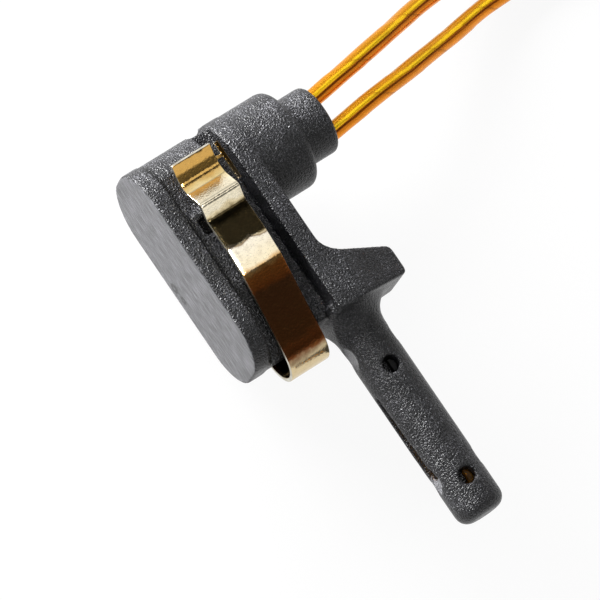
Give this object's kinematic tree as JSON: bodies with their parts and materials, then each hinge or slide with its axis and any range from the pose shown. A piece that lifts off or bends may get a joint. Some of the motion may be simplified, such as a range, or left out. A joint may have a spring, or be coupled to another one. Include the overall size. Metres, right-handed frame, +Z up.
{
  "type": "brake pad wear sensor",
  "caption": "Brake pad wear sensor with a plastic body, a round probe pin, a bent spring clip and two short insulated leads to a plug.",
  "frame": {"origin": "on the ground, under the middle of the sensor's box without its leads and plug", "axes": "+X from the flange plate towards the lead exit, -Y along the probe pin to its tip, +Z up, square to the clip's legs"},
  "size_m": [0.098, 0.046, 0.0144],
  "materials": {
    "body_plastic": "spark-eroded, with glass fibre near the surface",
    "clip_steel": "bright with yellow passivation",
    "wire_insulation": "glossy wrapped film",
    "plug_plastic": "fine matte",
    "lock_plastic": "fine matte",
    "seal_rubber": "matte",
    "terminal_metal": "tinned"
  },
  "bodies": {
    "root": {"sensor_body": "body_plastic", "spring_clip": "clip_steel", "sense_loop": "wire_insulation", "lead_upper": "wire_insulation", "lead_lower": "wire_insulation", "plug_housing": "plug_plastic", "terminal_lock": "lock_plastic", "nose_seal": "seal_rubber", "wire_seal_upper": "seal_rubber", "wire_seal_lower": "seal_rubber", "terminal_upper": "terminal_metal", "terminal_lower": "terminal_metal"}
  },
  "joints": []
}
